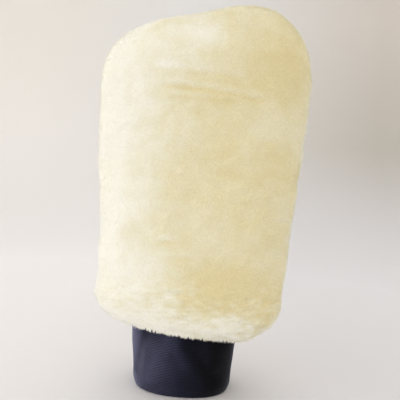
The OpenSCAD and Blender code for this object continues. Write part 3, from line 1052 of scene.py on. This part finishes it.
def make_layers():
    suede, tree, p = new_material("suede", (0.70, 0.60, 0.44), 0.95, Sheen_Weight=0.3)
    tint = ramp(tree, object_noise(tree, 120.0, 5.0), [(0.3, (0.62, 0.52, 0.37)), (0.7, (0.76, 0.66, 0.5))])
    tree.links.new(tint, p.inputs["Base Color"])
    bump(tree, p, object_noise(tree, 1400.0), 0.0002)
    knit, tree, p = new_material("lining_knit", (0.78, 0.78, 0.75), 0.9, Sheen_Weight=0.2)
    tint = ramp(tree, object_noise(tree, 900.0), [(0.3, (0.7, 0.7, 0.67)), (0.7, (0.82, 0.82, 0.79))])
    tree.links.new(tint, p.inputs["Base Color"])
    bump(tree, p, object_noise(tree, 1200.0), 0.0003)
    lining_inset = HIDE_T + SEAM_SPACE
    for side, skin in ((-1, "palm"), (1, "back")):
        pouch_layer(f"{skin}_suede", side, 0.0, HIDE_T, MOUTH_Z, f"{skin}_hide", suede, "hide")
        pouch_layer(f"{skin}_lining_panel", side, lining_inset, LINING_T, CUFF_H + 2, f"{skin}_lining", knit,
                    "lining_knit")


make_layers()


# ---- Thread ----

def islands(node):
    """The middle, half length and direction of each separate solid of a CAD node, in millimetres."""
    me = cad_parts[node].data
    matrix = np.array(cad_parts[node].matrix_world)
    points = np.empty(len(me.vertices) * 3)
    me.vertices.foreach_get("co", points)
    points = (points.reshape(-1, 3) @ matrix[:3, :3].T + matrix[:3, 3]) / MM
    edges = np.empty(len(me.edges) * 2, np.int32)
    me.edges.foreach_get("vertices", edges)
    edges = edges.reshape(-1, 2)
    # Points at the same place belong together, whatever faces they were split for
    _, label = np.unique(np.round(points, 3), axis=0, return_inverse=True)
    label = label.ravel().astype(np.int64)
    edges = label[edges]
    root = np.arange(label.max() + 1)
    while True:
        low = np.minimum(root[edges[:, 0]], root[edges[:, 1]])
        before = root.copy()
        np.minimum.at(root, edges[:, 0], low)
        np.minimum.at(root, edges[:, 1], low)
        root = root[root]
        if (root == before).all():
            break
    found = []
    for r in np.unique(root):
        mine = points[root[label] == r]
        middle = (mine.min(0) + mine.max(0)) / 2
        _, _, axes = np.linalg.svd(mine - middle, full_matrices=False)
        found.append((middle, np.abs((mine - middle) @ axes[0]).max(), axes[0]))
    return found


def thread_mesh(name, stitches, thickness, material):
    """Two-ply twisted thread for each (middle, half length, direction, inward direction)."""
    sides, steps, turns, sink = 6, 11, 2.2, 0.55
    t = np.linspace(-1, 1, steps)
    round_ = np.arange(sides) * 2 * np.pi / sides
    points, faces = [], []
    for middle, half, way, inward in stitches:
        inward = unit(inward - way * (inward @ way))
        across = np.cross(way, inward)
        for ply in (0, np.pi):
            twist = turns * np.pi * t + ply
            line = middle + np.outer(t * half, way) + np.outer(sink * np.abs(t) ** 6, inward)
            line = line + thickness / 4 * (np.outer(np.cos(twist), across) + np.outer(np.sin(twist), inward))
            first = sum(len(p) for p in points)
            tube = (
                line[:, None]
                + thickness * 0.28 * np.cos(round_)[None, :, None] * across
                + thickness * 0.28 * np.sin(round_)[None, :, None] * inward
            )
            points.append(np.concatenate([tube.reshape(-1, 3), line[[0, -1]]]))
            k, j = np.meshgrid(np.arange(steps - 1), np.arange(sides), indexing="ij")
            a, b = first + k * sides + j, first + k * sides + (j + 1) % sides
            faces.append(np.stack([a, b, b + sides], -1).reshape(-1, 3))
            faces.append(np.stack([a, b + sides, a + sides], -1).reshape(-1, 3))
            j = np.arange(sides)
            start, end = first + steps * sides, first + steps * sides + 1
            last = first + (steps - 1) * sides
            faces.append(np.stack([first + (j + 1) % sides, first + j, 0 * j + start], 1))
            faces.append(np.stack([last + j, last + (j + 1) % sides, 0 * j + end], 1))
    return mesh_object(name, np.concatenate(points), np.concatenate(faces), material)


def thread_material(name, colour):
    m, tree, p = new_material(name, colour, 0.6)
    dark = tuple(c * 0.8 for c in colour)
    tint = ramp(tree, object_noise(tree, 2500.0), [(0.3, dark), (0.7, colour)])
    tree.links.new(tint, p.inputs["Base Color"])
    return m


def make_threads():
    cream = thread_material("cream_thread", (0.75, 0.70, 0.52))
    white = thread_material("white_thread", (0.80, 0.80, 0.78))
    navy = thread_material("navy_thread", (0.045, 0.05, 0.10))
    for node, thickness, material, slot, way_in in (
        ("shell_seam_stitches", 0.5, cream, "cream_thread", "out"),
        ("lining_seam_stitches", 0.5, white, "white_thread", "in"),
        ("cuff_join_stitches", 0.5, cream, "cream_thread", "axis"),
        ("cuff_side_seam_stitches", 0.6, navy, "navy_thread", "front"),
        ("label_stitches", 0.5, cream, "cream_thread", "front"),
    ):
        found = islands(node)
        middles = np.array([f[0] for f in found])
        if way_in in ("out", "in"):
            # Round the pouch's edge in order, so that each stitch's neighbours give the seam's run
            turn = np.arctan2(middles[:, 2] - 150, middles[:, 0])
            order = np.argsort(np.where(turn < -np.pi / 2, turn + 2 * np.pi, turn))
            found = [found[k] for k in order]
            run = np.gradient(middles[order], axis=0)
            inward = np.cross(run, [0, 1, 0])
            inward *= np.sign((inward * (middles[order] - [0, 0, 150])).sum(1, keepdims=True))
            inward = unit(inward) * (1 if way_in == "out" else -1)
        elif way_in == "axis":
            inward = unit(-middles * [1, 1, 0])
        else:
            inward = np.tile([0.0, -1.0, 0.0], (len(found), 1))
        if node == "cuff_side_seam_stitches":
            moved = []
            for middle, half, way in found:
                z = middle[2:]
                plain = cuff_hd(z)
                creased, _ = cuff_point(np.array([np.pi / 2]), np.zeros(1), z)
                moved.append((middle + [0, creased[0, 1] - plain[0], 0], half, way))
            found = moved
        stitches = [(*f, i) for f, i in zip(found, inward)]
        ob = thread_mesh(node.replace("stitches", "thread"), stitches, thickness, material)
        place(ob, slot, node)


make_threads()
